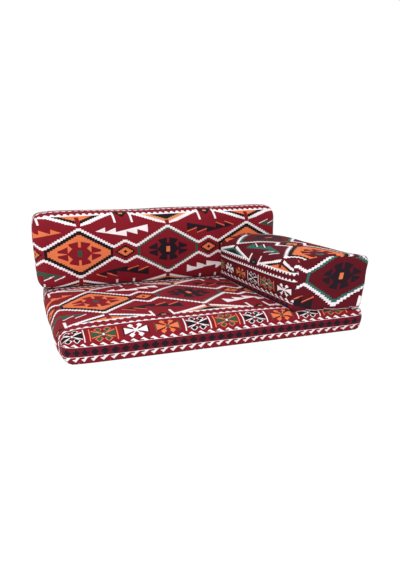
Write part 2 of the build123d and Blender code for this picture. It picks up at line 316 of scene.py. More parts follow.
def stars(yarn, u, v, star_start, swapped_star):
    """The row of eight-petalled stars, in four colours by turns. The swapped star has the
    colours of the first."""
    along = (u - star_start) / STAR_PITCH
    number = (along + 0.5).floor()
    x = abs(along - number) * STAR_PITCH
    y = abs(v - STAR_LINE)
    if swapped_star is not None:
        number = number * ~(abs(number - swapped_star) < 0.5)
    dark, green, white, orange = by_turns(number)
    across = x / 36
    down = y / 20
    edge = down - across * 0.5
    lobe = abs(across - 0.4) / 0.27 + abs(down - 0.72) / 0.31
    stem = (abs(across - down * 0.55) < 0.07) & (down < 0.6)
    end_petal = (lobe < 1) | stem | ((x < 4.5) & (y < 4.5))
    petals = ((edge < 0) & across.between(0.12, 1)) | end_petal
    rim_line = ((lobe - 1).between(0, 0.34) | (edge.between(0, 0.13) & (across < 1))) & ~end_petal
    bars = abs(x - 42) < 2
    return woven(
        yarn,
        (rim_line & dark, "white"),
        (rim_line & green, "orange"),
        (edge.between(0, 0.11) & (across < 1) & (white | orange), "black"),
        (petals & dark, "black"),
        (petals & green, "green"),
        (petals & white, "white"),
        (petals & orange, "orange"),
        ((green | dark) & (x < 3.2) & (y < 3.2), "white"),
        (orange & (x < 5) & (y < 4), "green"),
        (bars & (y < 21) & dark, "white"),
        (bars & (y < 19) & green, "orange"),
        ((abs(x - 38.8) < 1.6) & (y < 15) & (orange | white), either(white, "black", "green")))


def waves(yarn, u, v):
    """The running wave and the dark lozenges that part the stars from their mirror row."""
    step = (u / WAVE_PITCH).fract()
    height = (WAVE_LINE - v) / WAVE_HEIGHT
    brow = (0.5 + step * 1.5).least((0.9 - step) * 1.9)
    under = (step < 0.4) & (height < 0.5 - step * 0.3)
    crest = height.between(0, 1) & (height < brow) & ~under & step.between(0.04, 0.97)
    to_middle = BAND_MIRROR - v
    spread = abs(step - 0.5)
    lozenge = (spread * 2.7 + to_middle / 12.5 < 1) | ((spread < 0.4) & (to_middle < 2.2))
    return woven(
        yarn,
        (v > WAVE_LINE + 1, "wine"),
        (crest, "white"),
        (abs(v - WAVE_LINE) < 0.6, "white"),
        (lozenge & (v > WAVE_LINE + 2.6), "navy"))


def kilim(name, yarns, star_start, tooth_pitch, second_row, green_rim, swapped_star=None,
          eyes_from=-9999, motif_width=1):
    """A flat-woven cloth whose pattern is worked out from the cloth coordinates."""
    finish = Finish(name, roughness=0.86, Specular_IOR_Level=0.12)
    u, v = finish.cloth()
    folded = abs(v).pingpong(BAND_MIRROR)
    turned = u * v.sign()
    yarn, *form = diamonds(u * 0, turned, folded, green_rim, u > eyes_from, motif_width)
    yarn = triangles(yarn, *form, turned, folded, tooth_pitch, second_row)
    yarn = combs(yarn, turned, folded)
    starred = stars(yarn, u, folded, star_start, swapped_star)
    yarn = woven(yarn, (folded > second_row + 3.5, "crimson"),
                 (folded.between(second_row + 3.5, WAVE_LINE), starred))
    yarn = waves(yarn, u, folded)
    stops = [(i / len(YARNS), linear(yarns[y])) for i, y in enumerate(YARNS)]
    ramp = finish.add("ValToRGB", {0: (yarn + 0.5) / len(YARNS)},
                      interpolation="CONSTANT", stops=stops)
    patches = finish.noise(finish.vector(u * 0.012, v * 0.03), 1)
    slub = finish.noise(finish.vector(u * 0.04, v * 0.9), 1, 3)
    finish.colour(ramp[0], 0.7 + patches * 0.26 + slub * 0.34)
    rib = (v * (2 * math.pi / RIB_PITCH)).sine()
    finish.bump(rib * 0.35 + slub * 0.8, 0.0006, 0.6)
    return finish.material


def plain_cloth(name, colour, rib_scale, roughness=0.85):
    """A plain woven cloth with fine crossing threads."""
    finish = Finish(name, roughness=roughness, Sheen_Weight=0.1)
    place = finish.position()
    x, y, z = [part * rib_scale for part in finish.split(place)]
    threads = (x + z).sine() * (y + z).sine()
    cloud = finish.noise(place, 14.0, 3.0)
    shade = 0.84 + cloud * 0.24 + threads * 0.06
    finish.colour(linear(colour), shade)
    finish.bump(threads * 0.5 + cloud, 0.0004, 0.6)
    return finish.material


def brushed_metal(name, colour):
    """Satin metal with fine scratches."""
    finish = Finish(name, Metallic=1.0)
    place = finish.position(scale=(1.0, 0.12, 1.0))
    grain = finish.noise(place, 2600.0, 3.0)
    cloud = finish.noise(place, 160.0)
    finish.colour(linear(colour), 0.8 + cloud * 0.3)
    finish.feed("Roughness", 0.24 + grain * 0.22)
    finish.bump(grain, 0.00005, 0.4)
    return finish.material


def moulded_coil(name, colour):
    """Dyed nylon filament with a soft gloss."""
    finish = Finish(name, Coat_Weight=0.15)
    place = finish.position()
    cloud = finish.noise(place, 90.0, 3.0)
    finish.colour(linear(colour), 0.8 + cloud * 0.4)
    finish.feed("Roughness", 0.34 + cloud * 0.16)
    return finish.material


main_kilim = kilim("kilim_main", MAIN_YARNS, star_start=-87, tooth_pitch=DIAMOND_PITCH / 15,
                   second_row=174, green_rim=7, swapped_star=2)
# the arm's kilim, its crimson darkened as painted shade
arm_kilim = kilim("kilim_arm", ARM_YARNS_WITH_PAINTED_SHADE, star_start=483.5, tooth_pitch=DIAMOND_PITCH / 20,
                  second_row=167, green_rim=9, eyes_from=250, motif_width=0.8)
lining = plain_cloth("black_lining", LINING, 2600.0)
tape_cloth = plain_cloth("zip_tape_weave", ZIP_TAPE, 5200.0, 0.75)
thread = plain_cloth("sewing_thread", THREAD, 5200.0, 0.7)
hem_thread = plain_cloth("pale_hem", HEM, 3200.0, 0.8)
nickel = brushed_metal("satin_nickel", NICKEL)
coil_nylon = moulded_coil("coil_nylon", ZIP_COIL)


# ---- zip windows

COVER = 1.0 * MM
COVER_GAP = 1.8 * MM
WINDOW_LIP = 7.4 * MM
WINDOW_HALF = 6.2 * MM
WINDOW_DEPTH = 4.2 * MM
FOAM_HOLLOW = 4.4 * MM
TAPE_TAIL = 12 * MM


class Zip:
    """Where a zip lies: its middle on the cover's face and the ways along, up and out."""

    def __init__(self, name, axis, face_axis):
        upper, lower = [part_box(f"{name}_zip_{side}_tape") for side in ("upper", "lower")]
        middles = [(low + high) / 2 for low, high in (upper, lower)]
        self.name = name
        self.axis = axis
        self.up = (middles[0] - middles[1]).normalized()
        self.along = Vector([float(a == axis) for a in range(3)])
        out = self.along.cross(self.up)
        self.out = out if out[face_axis] > 0 else -out
        self.middle = (middles[0] + middles[1]) / 2 + self.out * COVER_GAP
        self.half = (upper[1][axis] - upper[0][axis]) / 2

    def lines(self):
        """Grid lines at the lips and walls of the window."""
        reach = self.half - TAPE_TAIL
        places = {2: [self.middle.z + s * w * self.up.z
                      for s in (-1, 1) for w in (WINDOW_LIP, WINDOW_HALF)]}
        places[self.axis] = [self.middle[self.axis] + s * (reach + w)
                             for s in (-1, 1) for w in (0, 1.2 * MM)]
        return places

    def local(self, points):
        """Points as distances along, up and out from the zip's middle."""
        apart = points - np.array(self.middle)
        return [apart @ np.array(way) for way in (self.along, self.up, self.out)]

    def sink(self, cushion, points):
        """Pushes the cover in behind the zip, so that its tapes and coils show."""
        along, up, out = self.local(cushion.rest)
        inside = (np.abs(up) < WINDOW_HALF + 0.1 * MM) & (np.abs(out) < 4 * MM) \
            & (np.abs(along) < self.half - TAPE_TAIL + 0.1 * MM)
        depth = -WINDOW_DEPTH - out[inside]
        points[inside] = cushion.rest[inside] + depth[:, None] * np.array(self.out)
        return points

    def nearness(self, cushion):
        """1 near the window, fading to 0 a hand's breadth away."""
        along, up, out = self.local(cushion.rest)
        away = np.maximum(np.abs(up) - 9 * MM, np.abs(along) - self.half)
        return np.where(np.abs(out) < 4 * MM, 1 - ramp(away, 0, 30 * MM), 0)


# ---- cushion forms

def foam_surface(node, zipper):
    """A foam core's surface for rays, with the hollow behind its zip pushed back out."""
    shape = bmesh.new()
    shape.from_mesh(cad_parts[node].data)
    bmesh.ops.remove_doubles(shape, verts=shape.verts, dist=1e-6)
    for vert in shape.verts:
        along, up, out = zipper.local(np.array(vert.co))
        if abs(along) < zipper.half + 1.5 * MM and abs(up) < 16.4 * MM \
                and abs(out + FOAM_HOLLOW) < 0.3 * MM:
            vert.co += zipper.out * (FOAM_HOLLOW - COVER_GAP)
    bmesh.ops.triangulate(shape, faces=shape.faces)
    tree = BVHTree.FromBMesh(shape)
    low, high = [Vector([pick(vert.co[a] for vert in shape.verts) for a in range(3)])
                 for pick in (min, max)]
    shape.free()
    return tree, low, high


def grid_places(low, high, depth, fan, pitch, lines):
    """Grid places along one side: a fan over each rounded end, even steps between, and
    a line at each of the given places."""
    ends = [depth * math.tan(math.pi / 4 * step / fan) for step in range(fan, 0, -1)]
    left = [low + depth - reach for reach in ends]
    right = [high - depth + reach for reach in reversed(ends)]
    count = max(1, round((high - low - 2 * depth) / pitch))
    middle = [low + depth + (high - low - 2 * depth) * i / count for i in range(count + 1)]
    places = left + middle + right
    for line in lines:
        places = [p for p in places if abs(p - line) > 0.35 * pitch or p in lines
                  or p in (places[0], places[-1])]
        places.append(line)
    return sorted(set(places))


def new_mesh(name, points, edges, faces):
    """A mesh of plain points, edges and faces."""
    data = bpy.data.meshes.new(name)
    data.from_pydata([tuple(p) for p in points], edges, faces)
    data.update()
    return data


def in_scene(name, data):
    """A new object of the data, linked into the scene."""
    thing = bpy.data.objects.new(name, data)
    bpy.context.scene.collection.objects.link(thing)
    return thing


def bake(piece):
    """Turns a piece's modifiers into its own mesh, with smooth faces."""
    done = bpy.data.meshes.new_from_object(
        piece.evaluated_get(bpy.context.evaluated_depsgraph_get()))
    piece.modifiers.clear()
    piece.data = done
    done.name = piece.name
    done.polygons.foreach_set("use_smooth", np.ones(len(done.polygons), bool))


def read(items, name, width=1, kind=float):
    """One value of every point, corner or face of a mesh, as an array."""
    found = np.zeros(len(items) * width, kind)
    items.foreach_get(name, found)
    return found.reshape(-1, width) if width > 1 else found


def around(face):
    """A face's edges, each with its lower point first."""
    return [(min(a, b), max(a, b)) for a, b in zip(face, face[1:] + face[:1])]


def picked(groups):
    """The points that some edges or faces use, and the same edges or faces among these."""
    used = sorted({v for group in groups for v in group})
    place = {v: i for i, v in enumerate(used)}
    return used, [[place[v] for v in group] for group in groups]


class Cushion:
    """A closed grid over a cushion's form, whose points keep their grid places."""

    def __init__(self, name, body, depth, pitch, fan):
        depth = np.array(depth) * MM
        self.name = name
        self.body = body
        self.zipper = zip_of[name]
        tree, low, high = foam_surface(f"{name}_foam_core", self.zipper)
        lines = self.zipper.lines()
        axes = [grid_places(low[a], high[a], depth[a], fan, pitch * MM, lines.get(a, ()))
                for a in range(3)]
        index = {}
        points = []
        counts = [len(a) for a in axes]
        inside = [np.array(low) + depth, np.array(high) - depth]
        for cell in np.ndindex(*counts):
            if all(0 < c < n - 1 for c, n in zip(cell, counts)):
                continue
            place = Vector([axes[a][cell[a]] for a in range(3)])
            root = Vector(np.clip(place, *inside))
            hit = tree.ray_cast(root, (place - root).normalized())[0]
            index[cell] = len(points)
            points.append(hit if hit is not None else place)
        self.rest = np.array(points, float)
        self.faces = []
        for axis in range(3):
            one, two = [a for a in range(3) if a != axis]
            for end in (0, counts[axis] - 1):
                flip = (end == 0) != (axis == 1)
                for p, q in np.ndindex(counts[one] - 1, counts[two] - 1):
                    corners = []
                    for dp, dq in ((0, 0), (1, 0), (1, 1), (0, 1)):
                        cell = [0, 0, 0]
                        cell[axis], cell[one], cell[two] = end, p + dp, q + dq
                        corners.append(index[tuple(cell)])
                    self.faces.append(corners[::-1] if flip else corners)

    def middles(self):
        """Each face's middle and the way it faces, at rest."""
        corners = self.rest[np.array(self.faces)]
        facing = np.cross(corners[:, 2] - corners[:, 0], corners[:, 3] - corners[:, 1])
        return corners.mean(axis=1), facing / np.linalg.norm(facing, axis=1)[:, None]

    def borders(self, kinds):
        """The edges between faces of different kinds."""
        beside = {}
        for face, kind in zip(self.faces, kinds):
            for edge in around(face):
                beside.setdefault(edge, set()).add(int(kind))
        return [edge for edge, found in beside.items() if len(found) > 1]

    def seams(self, panels):
        """1 at the points where two panels are sewn together."""
        sewn = np.zeros(len(self.rest))
        sewn[[point for edge in self.borders(panels) for point in edge]] = 1
        return sewn

    def pushed(self, points, *pushes):
        """Moves the points round each place, less and less up to a radius from it. Lengths
        are in millimetres."""
        for place, radius, way in pushes:
            apart = np.linalg.norm(self.rest / MM - np.array(place), axis=1)
            points += (1 - ramp(apart, 0, radius))[:, None] * np.array(way) * MM
        return points

    def normals(self, points):
        data = new_mesh("normals", points, [], self.faces)
        found = read(data.vertices, "normal", 3)
        bpy.data.meshes.remove(data)
        return found


def ramp(values, start, end):
    """From 0 at start to 1 at end, smoothly."""
    share = np.clip((values - start) / (end - start), 0, 1)
    return share * share * (3 - 2 * share)


CLOTH = {
    "quality": 6, "mass": 0.35, "tension_stiffness": 22, "compression_stiffness": 22,
    "shear_stiffness": 8, "bending_stiffness": 1.2, "use_pressure": True,
    "uniform_pressure_force": 4, "vertex_group_mass": "held", "pin_stiffness": 1.0,
}


def inflate(cushion, held, reach):
    """Blows the cover up from inside, held where it is sewn or pressed, and keeps every
    point within its reach of where it started."""
    piece = in_scene("blown_up", new_mesh("blown_up", cushion.rest, [], cushion.faces))
    group = piece.vertex_groups.new(name="held")
    for vert in np.flatnonzero(held > 0):
        group.add([int(vert)], float(held[vert]), "REPLACE")
    cloth = piece.modifiers.new("cloth", "CLOTH")
    for setting, value in CLOTH.items():
        setattr(cloth.settings, setting, value)
    cloth.settings.effector_weights.gravity = 0
    scene = bpy.context.scene
    for moment in range(1, 21):
        scene.frame_set(moment)
    evaluated = piece.evaluated_get(bpy.context.evaluated_depsgraph_get())
    moved = read(evaluated.data.vertices, "co", 3) - cushion.rest
    bpy.data.objects.remove(piece)
    scene.frame_set(1)
    length = np.maximum(np.linalg.norm(moved, axis=1), 1e-9)
    return cushion.rest + moved * (np.minimum(length, reach) / length)[:, None]


EASE_ROUNDS = 2


def ease(cushion, points):
    """Smooths the points a little along the cloth."""
    edges = np.array(sorted({edge for face in cushion.faces for edge in around(face)})).T
    for _ in range(EASE_ROUNDS):
        total = np.zeros_like(points)
        count = np.zeros(len(points))
        for here, there in (edges, edges[::-1]):
            np.add.at(total, here, points[there])
            np.add.at(count, here, 1)
        points = points * 0.6 + total / count[:, None] * 0.4
    return points


def finish_mesh(cushion, name, points, panels, maps, cloth):
    """The cushion's final piece: one subdivision, then cloth coordinates by panel."""
    data = new_mesh(name, points, [], cushion.faces)
    rest = data.attributes.new("rest", "FLOAT_VECTOR", "POINT")
    rest.data.foreach_set("vector", cushion.rest.astype(np.float32).ravel())
    for _ in maps:
        data.materials.append(cloth)
    data.polygons.foreach_set("material_index", panels.astype(np.int32))
    piece = in_scene(name, data)
    smoother = piece.modifiers.new("subdivision", "SUBSURF")
    smoother.levels = smoother.render_levels = 1
    bake(piece)
    dense = piece.data
    layer = dense.uv_layers.new(name="cloth")
    verts = read(dense.loops, "vertex_index", kind=np.int32)
    places = read(dense.attributes["rest"].data, "vector", 3)[verts] / MM
    kinds = np.repeat(read(dense.polygons, "material_index", kind=np.int32),
                      read(dense.polygons, "loop_total", kind=np.int32))
    coordinates = np.zeros((len(verts), 2))
    for panel, cloth_map in enumerate(maps):
        chosen = kinds == panel
        if chosen.any():
            coordinates[chosen] = cloth_map(*places[chosen].T)
    layer.data.foreach_set("uv", (coordinates * MM).astype(np.float32).ravel())
    dense.materials.clear()
    dense.materials.append(cloth)
    dense.polygons.foreach_set("material_index", np.zeros(len(dense.polygons), np.int32))
    dense.update()
    return piece


# ---- cloth on each panel

def dome_run(x, low, high, depth, inset):
    """How far cloth has run along a cushion whose two ends are domed."""
    wide, swing = (depth + inset) / 2, (depth - inset) / 6
    left = np.arcsin(np.clip((low + depth - x) / depth, 0, 1))
    right = np.arcsin(np.clip((x - high + depth) / depth, 0, 1))
    middle = np.clip(x, low + depth, high - depth)
    return (middle - wide * left - swing * np.sin(2 * left)
            + wide * right + swing * np.sin(2 * right))


def corner_run(out, up, radius):
    """The arc run round an edge, from where out is 0 to where up is 0."""
    return radius * np.arctan2(np.maximum(out, 0), np.maximum(up, 1e-6))


# the middle and radius of the seat's rounded front and rear edges
NOSE = (-339, 52, 36)
SEAT_REAR = (349, 62, 26)
SEAT_STRETCH = 350 / 334


def seat_run(y, z):
    """The cloth's run from the middle of the seat's main row: plus to the front, down the
    nose and the front face, minus to the rear."""
    nose_y, nose_z, nose_radius = NOSE
    rear_y, rear_z, rear_radius = SEAT_REAR
    over_nose = corner_run(nose_y - y, z - nose_z, nose_radius)
    over_rear = corner_run(y - rear_y, z - rear_z, rear_radius)
    run = -44 - np.clip(y, nose_y, rear_y)
    run = np.where(y < nose_y, 295 + over_nose, run)
    run = np.where((y < nose_y) & (z < nose_z), 351.5 + nose_z - z, run)
    run = np.where(y > rear_y, -393 - over_rear, run)
    return np.where((y > rear_y) & (z < rear_z), -433.8 - (rear_z - z), run)


def seat_cloth(x, y, z):
    """Over the seat's top and down its front and rear. The rows lie closer in front."""
    run = seat_run(y, z)
    along = dome_run(x, SEAT_LEFT, SEAT_RIGHT, 32.2, 24.2)
    front = np.interp(run, (0, 165, 230, 271, 317, 356, 456), (0, 101, 142, 173, 204, 243, 343))
    v = np.where(run > 0, -front, -run / 1.62)
    u = (along + 1 - 0.04 * np.clip(run, -300, 231)) * SEAT_STRETCH
    return np.stack([u, v], 1)


def down_end(x, left, right, coordinates, drop):
    """Lets cloth coordinates go on down the flat of a cushion's end, by the drop."""
    flat = np.minimum(np.abs(x - left), np.abs(x - right)) < 0.4
    coordinates[:, 0] += np.sign(x) * np.where(flat, drop, 0)
    return coordinates


def seat_end_cloth(x, y, z):
    """Over an end the cloth goes on down the side, and round the front corner."""
    drop = np.where(y > NOSE[0], np.clip(62 - z, 0, 60), 0)
    return down_end(x, SEAT_LEFT, SEAT_RIGHT, seat_cloth(x, y, z), drop)


def seat_rear_cloth(x, y, z):
    """Up the seat's rear strips."""
    return np.stack([-x * SEAT_STRETCH, -(z + 162)], 1)


BACK_FRONT, BACK_REAR = 261, 339
BACK_FOOT, BACK_SHOULDER = 110.3, 337.3


def back_height_run(y, z):
    """The cloth's run up the back's front face, over its top and down its rear."""
    above = z > BACK_SHOULDER
    over_front = 0.72 * corner_run(z - BACK_SHOULDER, BACK_FRONT - y, 36)
    over_rear = corner_run(y - BACK_REAR, z - BACK_SHOULDER, 36)
    run = np.maximum(z, BACK_FOOT) - 222
    run = np.where(z < BACK_FOOT, -111.7 - corner_run(BACK_FOOT - z, 247 - y, 22), run)
    run = np.where(above & (y < BACK_FRONT), 115.3 + over_front, run)
    run = np.where(above & (y >= BACK_FRONT), 156 + np.clip(y, BACK_FRONT, BACK_REAR) - BACK_FRONT,
                   run)
    return np.where(above & (y > BACK_REAR), 234 + over_rear, run)


def back_cloth(x, y, z):
    """Up the back's front and over its top, where the rows lean a little."""
    v = back_height_run(y, z)
    lean = 0.28 * np.clip(v - 112, 0, 40)
    u = dome_run(x, BACK_LEFT, BACK_RIGHT, 44.2, 28.2) + 0.5 + lean
    return np.stack([u, v], 1)


def back_end_cloth(x, y, z):
    """Over an end the cloth goes on towards the rear."""
    return down_end(x, BACK_LEFT, BACK_RIGHT, back_cloth(x, y, z), np.clip(y - 256, 0, 90))


def back_rear_cloth(x, y, z):
    """Up the back's rear panels."""
    return np.stack([-x, z - 222], 1)


ARM_TURN = math.radians(6)
ARM_CORNER = (247, -353.5)
ARM_FOOT = 88.3
ARM_SHOULDER = 214.3
ARM_OUTER = (486, 232.3)
ARM_MIDDLE = 352
ARM_OUTER_STRETCH = 0.85


def arm_side(y):
    """Where the arm's inner side stands, which draws in towards the rear."""
    return ARM_CORNER[0] - 22 * (y - ARM_CORNER[1]) / 578


def arm_cloth(x, y, z):
    """Up the arm's inner side, over its top and down its outer side."""
    side = arm_side(y)
    outer_x, outer_z = ARM_OUTER
    over_inner = corner_run(z - ARM_SHOULDER, side + 44 - x, 44)
    over_outer = corner_run(x - outer_x, z - outer_z, 22)
    v = 1.03 * z - 355.4
    v = np.where((x < side + 44) & (z > ARM_SHOULDER), -134.7 + 0.98 * over_inner, v)
    stretch = 67 / (ARM_MIDDLE - side - 44)
    past_middle = np.clip(x, 0, outer_x) - ARM_MIDDLE
    v = np.where((x >= side + 44) & (z > 170),
                 past_middle * np.where(past_middle > 0, ARM_OUTER_STRETCH, stretch), v)
    outer_start = (outer_x - ARM_MIDDLE) * ARM_OUTER_STRETCH
    v = np.where((x > outer_x) & (z > outer_z), outer_start + over_outer, v)
    v = np.where((x > outer_x) & (z <= outer_z), outer_start + 34.6 + (outer_z - z), v)
    # round the front corner, which is 9 wide across and 16 deep
    front = -337.5
    round_corner = 12.9 * np.arctan2(np.maximum(front - y, 0) / 16,
                                     np.maximum(side + 9 - x, 0) / 9 + 1e-6)
    beyond = np.where((y < front) & (z < ARM_SHOULDER),
                      round_corner + np.maximum(x - side - 9, 0), 0)
    askew = np.interp(v, (-94, 0), (0, 67))
    return np.stack([785.8 - askew - (np.where(beyond > 0, front, y) - beyond) / 1.04, v], 1)


def arm_front_cloth(x, y, z):
    """Up the arm's front panel, whose rows slope."""
    across = (x - ARM_CORNER[0]) / math.cos(ARM_TURN)
    up = z - 193.1
    return np.stack([(across - 166.5 - 0.2246 * up) / 0.915, up / 0.962], 1)


def arm_rear_cloth(x, y, z):
    """Up the arm's rear panel."""
    return np.stack([x - 372, z - 160], 1)


# ---- the three cushions

SEAM_DEPTH = 1.6 * MM
FACES_DOWN = -0.85
SIDE_FACING = 0.72
REAR_FACE = 372


def shaped(cushion, reach, panels):
    """The cushion's cover after it is blown up, eased and sewn in at its seams."""
    seams = cushion.seams(panels)
    reach = reach * (1 - cushion.zipper.nearness(cushion))
    still = reach < 0.2 * MM
    points = inflate(cushion, np.maximum(seams, still), reach)
    points = ease(cushion, points)
    points[still] = cushion.rest[still]
    return points + cushion.normals(points) * (COVER - seams * SEAM_DEPTH)[:, None]


def lining_piece(cushion, points):
    """The plain lining under a cushion, a thin panel sewn on at its foot."""
    used, faces = picked([face for face, way in zip(cushion.faces, cushion.middles()[1])
                          if way[2] < FACES_DOWN])
    points = points + cushion.normals(points) * 0.7 * MM
    name = f"{cushion.name}_base_lining"
    piece = in_scene(name, new_mesh(name, points[used], [], faces))
    piece.data.materials.append(lining)
    thick = piece.modifiers.new("thickness", "SOLIDIFY")
    thick.thickness, thick.offset = 1.2 * MM, -1.0
    bake(piece)
    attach(piece, cushion.body)
    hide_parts(f"{cushion.name}_base_panel")


SOCKETS = {tuple: "NodeSocketVector", int: "NodeSocketInt", float: "NodeSocketFloat"}


def repeated(piece, material, way, **sizes):
    """Runs a Geometry Nodes tree on a piece, gives the result its material and keeps it as
    the piece's own mesh. The way adds nodes that are given the piece and the sizes."""
    tree = bpy.data.node_groups.new(f"{piece.name}_rows", "GeometryNodeTree")
    for name, in_out in (("piece", "INPUT"), ("result", "OUTPUT")):
        tree.interface.new_socket(name, in_out=in_out, socket_type="NodeSocketGeometry")
    modifier = piece.modifiers.new("rows", "NODES")
    sockets = {name: tree.interface.new_socket(name, in_out="INPUT",
                                               socket_type=SOCKETS[type(value)])
               for name, value in sizes.items()}
    real = add_node(tree, "GeometryNodeRealizeInstances",
                    {0: way(tree, add_node(tree, "NodeGroupInput"))})
    coloured = add_node(tree, "GeometryNodeSetMaterial", {0: real[0], "Material": material})
    add_node(tree, "NodeGroupOutput", {0: coloured[0]})
    modifier.node_group = tree
    for name, value in sizes.items():
        modifier[sockets[name].identifier] = value
    bake(piece)


def row(tree, given):
    """Copies of the piece's own mesh, one step apart along a straight line."""
    places = {"Count": given["count"], "Start Location": given["start"], "Offset": given["step"]}
    line = add_node(tree, "GeometryNodeMeshLine", places, mode="OFFSET")
    return add_node(tree, "GeometryNodeInstanceOnPoints",
                    {"Points": line[0], "Instance": given["piece"]})[0]


def piping(tree, given):
    """A thin round cord along the piece's own edges."""
    path = add_node(tree, "GeometryNodeMeshToCurve", {0: given["piece"]})
    outline = add_node(tree, "GeometryNodeCurvePrimitiveCircle",
                       {"Resolution": 8, "Radius": given["radius"]})
    return add_node(tree, "GeometryNodeCurveToMesh", {0: path[0], 1: outline[0]})[0]


def stitches(tree, given):
    """Short rounded stitches along the piece's own edges."""
    path = add_node(tree, "GeometryNodeMeshToCurve", {0: given["piece"]})
    spots = add_node(tree, "GeometryNodeCurveToPoints",
                     {0: path[0], "Length": given["spacing"]}, mode="LENGTH")
    stitch = add_node(tree, "GeometryNodeMeshUVSphere", {"Segments": 6, "Rings": 5, "Radius": 0.5})
    size = add_node(tree, "ShaderNodeCombineXYZ",
                    {0: given["thickness"], 1: given["thickness"], 2: given["length"]})
    return add_node(tree, "GeometryNodeInstanceOnPoints",
                    {"Points": spots["Points"], "Instance": stitch[0],
                     "Rotation": spots["Rotation"], "Scale": size[0]})[0]


def pale_hem(cushion, points):
    """The pale hem where the lining is sewn on round a cushion's foot."""
    used, edges = picked(cushion.borders(cushion.middles()[1][:, 2] < FACES_DOWN))
    points = points + cushion.normals(points) * 0.4 * MM
    name = f"{cushion.name}_hem"
    piece = in_scene(name, new_mesh(name, points[used], edges, []))
    repeated(piece, hem_thread, piping, radius=1.2 * MM)
    fix_normals(piece)
    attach(piece, cushion.body)


def stitched_seams(cushion, cover, panels):
    """A row of stitches where two panels are sewn together, a hair above the cloth."""
    used, edges = picked(cushion.borders(panels))
    verts = cover.data.vertices
    points = [verts[v].co + verts[v].normal * 0.15 * MM for v in used]
    name = f"{cushion.name}_seam_stitches"
    piece = in_scene(name, new_mesh(name, points, edges, []))
    repeated(piece, thread, stitches, spacing=4.6 * MM, length=3.2 * MM, thickness=0.9 * MM)
    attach(piece, cushion.body)


COIL_PITCH = 1.4 * MM
COIL_WIRE = 0.34 * MM
COIL_STEPS = 10
WIRE_STEPS = 5


def coil_row(zipper, side, body):
    """One side of the zip's coil: turns of nylon that lean a little along the tape."""
    node = f"{zipper.name}_zip_{side}_coil"
    low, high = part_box(node)
    up = zipper.up * (1 if side == "upper" else -1)
    width, height = 1.3 * MM - COIL_WIRE, 0.92 * MM - COIL_WIRE
    points, faces = [], []
    for turn in range(COIL_STEPS):
        angle = math.tau * turn / COIL_STEPS
        cosine, sine = math.cos(angle), math.sin(angle)
        out = up * cosine + zipper.out * sine
        centre = up * (width * cosine) + zipper.out * (height * sine) \
            + zipper.along * (0.3 * MM * cosine)
        onward = (turn + 1) % COIL_STEPS * WIRE_STEPS
        for step in range(WIRE_STEPS):
            round_wire = math.tau * step / WIRE_STEPS
            points.append(centre + out * (COIL_WIRE * math.cos(round_wire))
                          + zipper.along * (COIL_WIRE * math.sin(round_wire)))
            beside = (step + 1) % WIRE_STEPS
            faces.append([turn * WIRE_STEPS + step, turn * WIRE_STEPS + beside,
                          onward + beside, onward + step])
    count = int(((high - low)[zipper.axis] - 2.4 * MM) / COIL_PITCH) + 1
    name = f"{node}_turns"
    piece = in_scene(name, new_mesh(name, points, [], faces))
    start = (low + high) / 2 - zipper.along * ((count - 1) * COIL_PITCH / 2)
    repeated(piece, coil_nylon, row, start=tuple(start),
             step=tuple(zipper.along * COIL_PITCH), count=count)
    fix_normals(piece)
    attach(piece, body)
    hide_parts(node)


def fix_normals(piece):
    """Turns a closed piece's faces outwards."""
    shape = bmesh.new()
    shape.from_mesh(piece.data)
    bmesh.ops.recalc_face_normals(shape, faces=shape.faces)
    shape.to_mesh(piece.data)
    shape.free()


def ripple(cushion, points, axis, share, waves):
    """Gentle hollows and rises of stuffed cloth along an axis, as a few slow waves."""
    x, y, z = cushion.rest.T / MM
    for size, along_x, along_y, along_z, start in waves:
        wave = np.sin(x / along_x + y / along_y + z / along_z + start)
        points[:, axis] += size * wave * share * MM


zip_of = {name: Zip(name, *axes) for name, axes in
          {"seat": (0, 1), "back": (0, 1), "arm": (1, 0)}.items()}
SEAT_LEFT, SEAT_RIGHT = [corner.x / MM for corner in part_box("seat_foam_core")]
BACK_LEFT, BACK_RIGHT = [corner.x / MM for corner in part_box("back_foam_core")]


def end_panels(cushion):
    """Which panel each face is on, where a cushion has two end panels and a rear one."""
    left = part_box(f"{cushion.name}_left_end_panel")[1].x
    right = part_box(f"{cushion.name}_right_end_panel")[0].x
    middle, facing = cushion.middles()
    ends = (middle[:, 0] < left) | (middle[:, 0] > right)
    return np.where(ends, 1, np.where(facing[:, 1] > SIDE_FACING, 2, 0))


def dress(cushion, points, panels, maps, cloth, nodes):
    """Makes a cushion's padded cover, the lining under it, its stitches and its coils."""
    name = cushion.name
    points = cushion.zipper.sink(cushion, points)
    piece = finish_mesh(cushion, f"{name}_cover", points, panels, maps, cloth)
    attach(piece, cushion.body)
    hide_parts(f"{name}_foam_core", *[f"{name}_{node}" for node in nodes])
    lining_piece(cushion, points)
    stitched_seams(cushion, piece, panels)
    for side in ("upper", "lower"):
        coil_row(cushion.zipper, side, cushion.body)


def squared(points, radius, height, inward, way):
    """Fills out a rounded foot edge where the height above the foot and the distance inward
    from a side are both less than its radius. Way is the side's outward direction."""
    up, out = radius - height, radius - inward
    reach = 1.2 * radius
    edge = (up > 0) & (out > 0) & (up < reach) & (out < reach)
    share = np.where(edge, radius / np.maximum(np.maximum(up, out), 0.4 * radius) - 1, 0)
    share = np.clip(share, 0, 0.42) * 0.95
    points[:, 0] += way[0] * out * share * MM
    points[:, 1] += way[1] * out * share * MM
    points[:, 2] -= up * share * MM
    return points


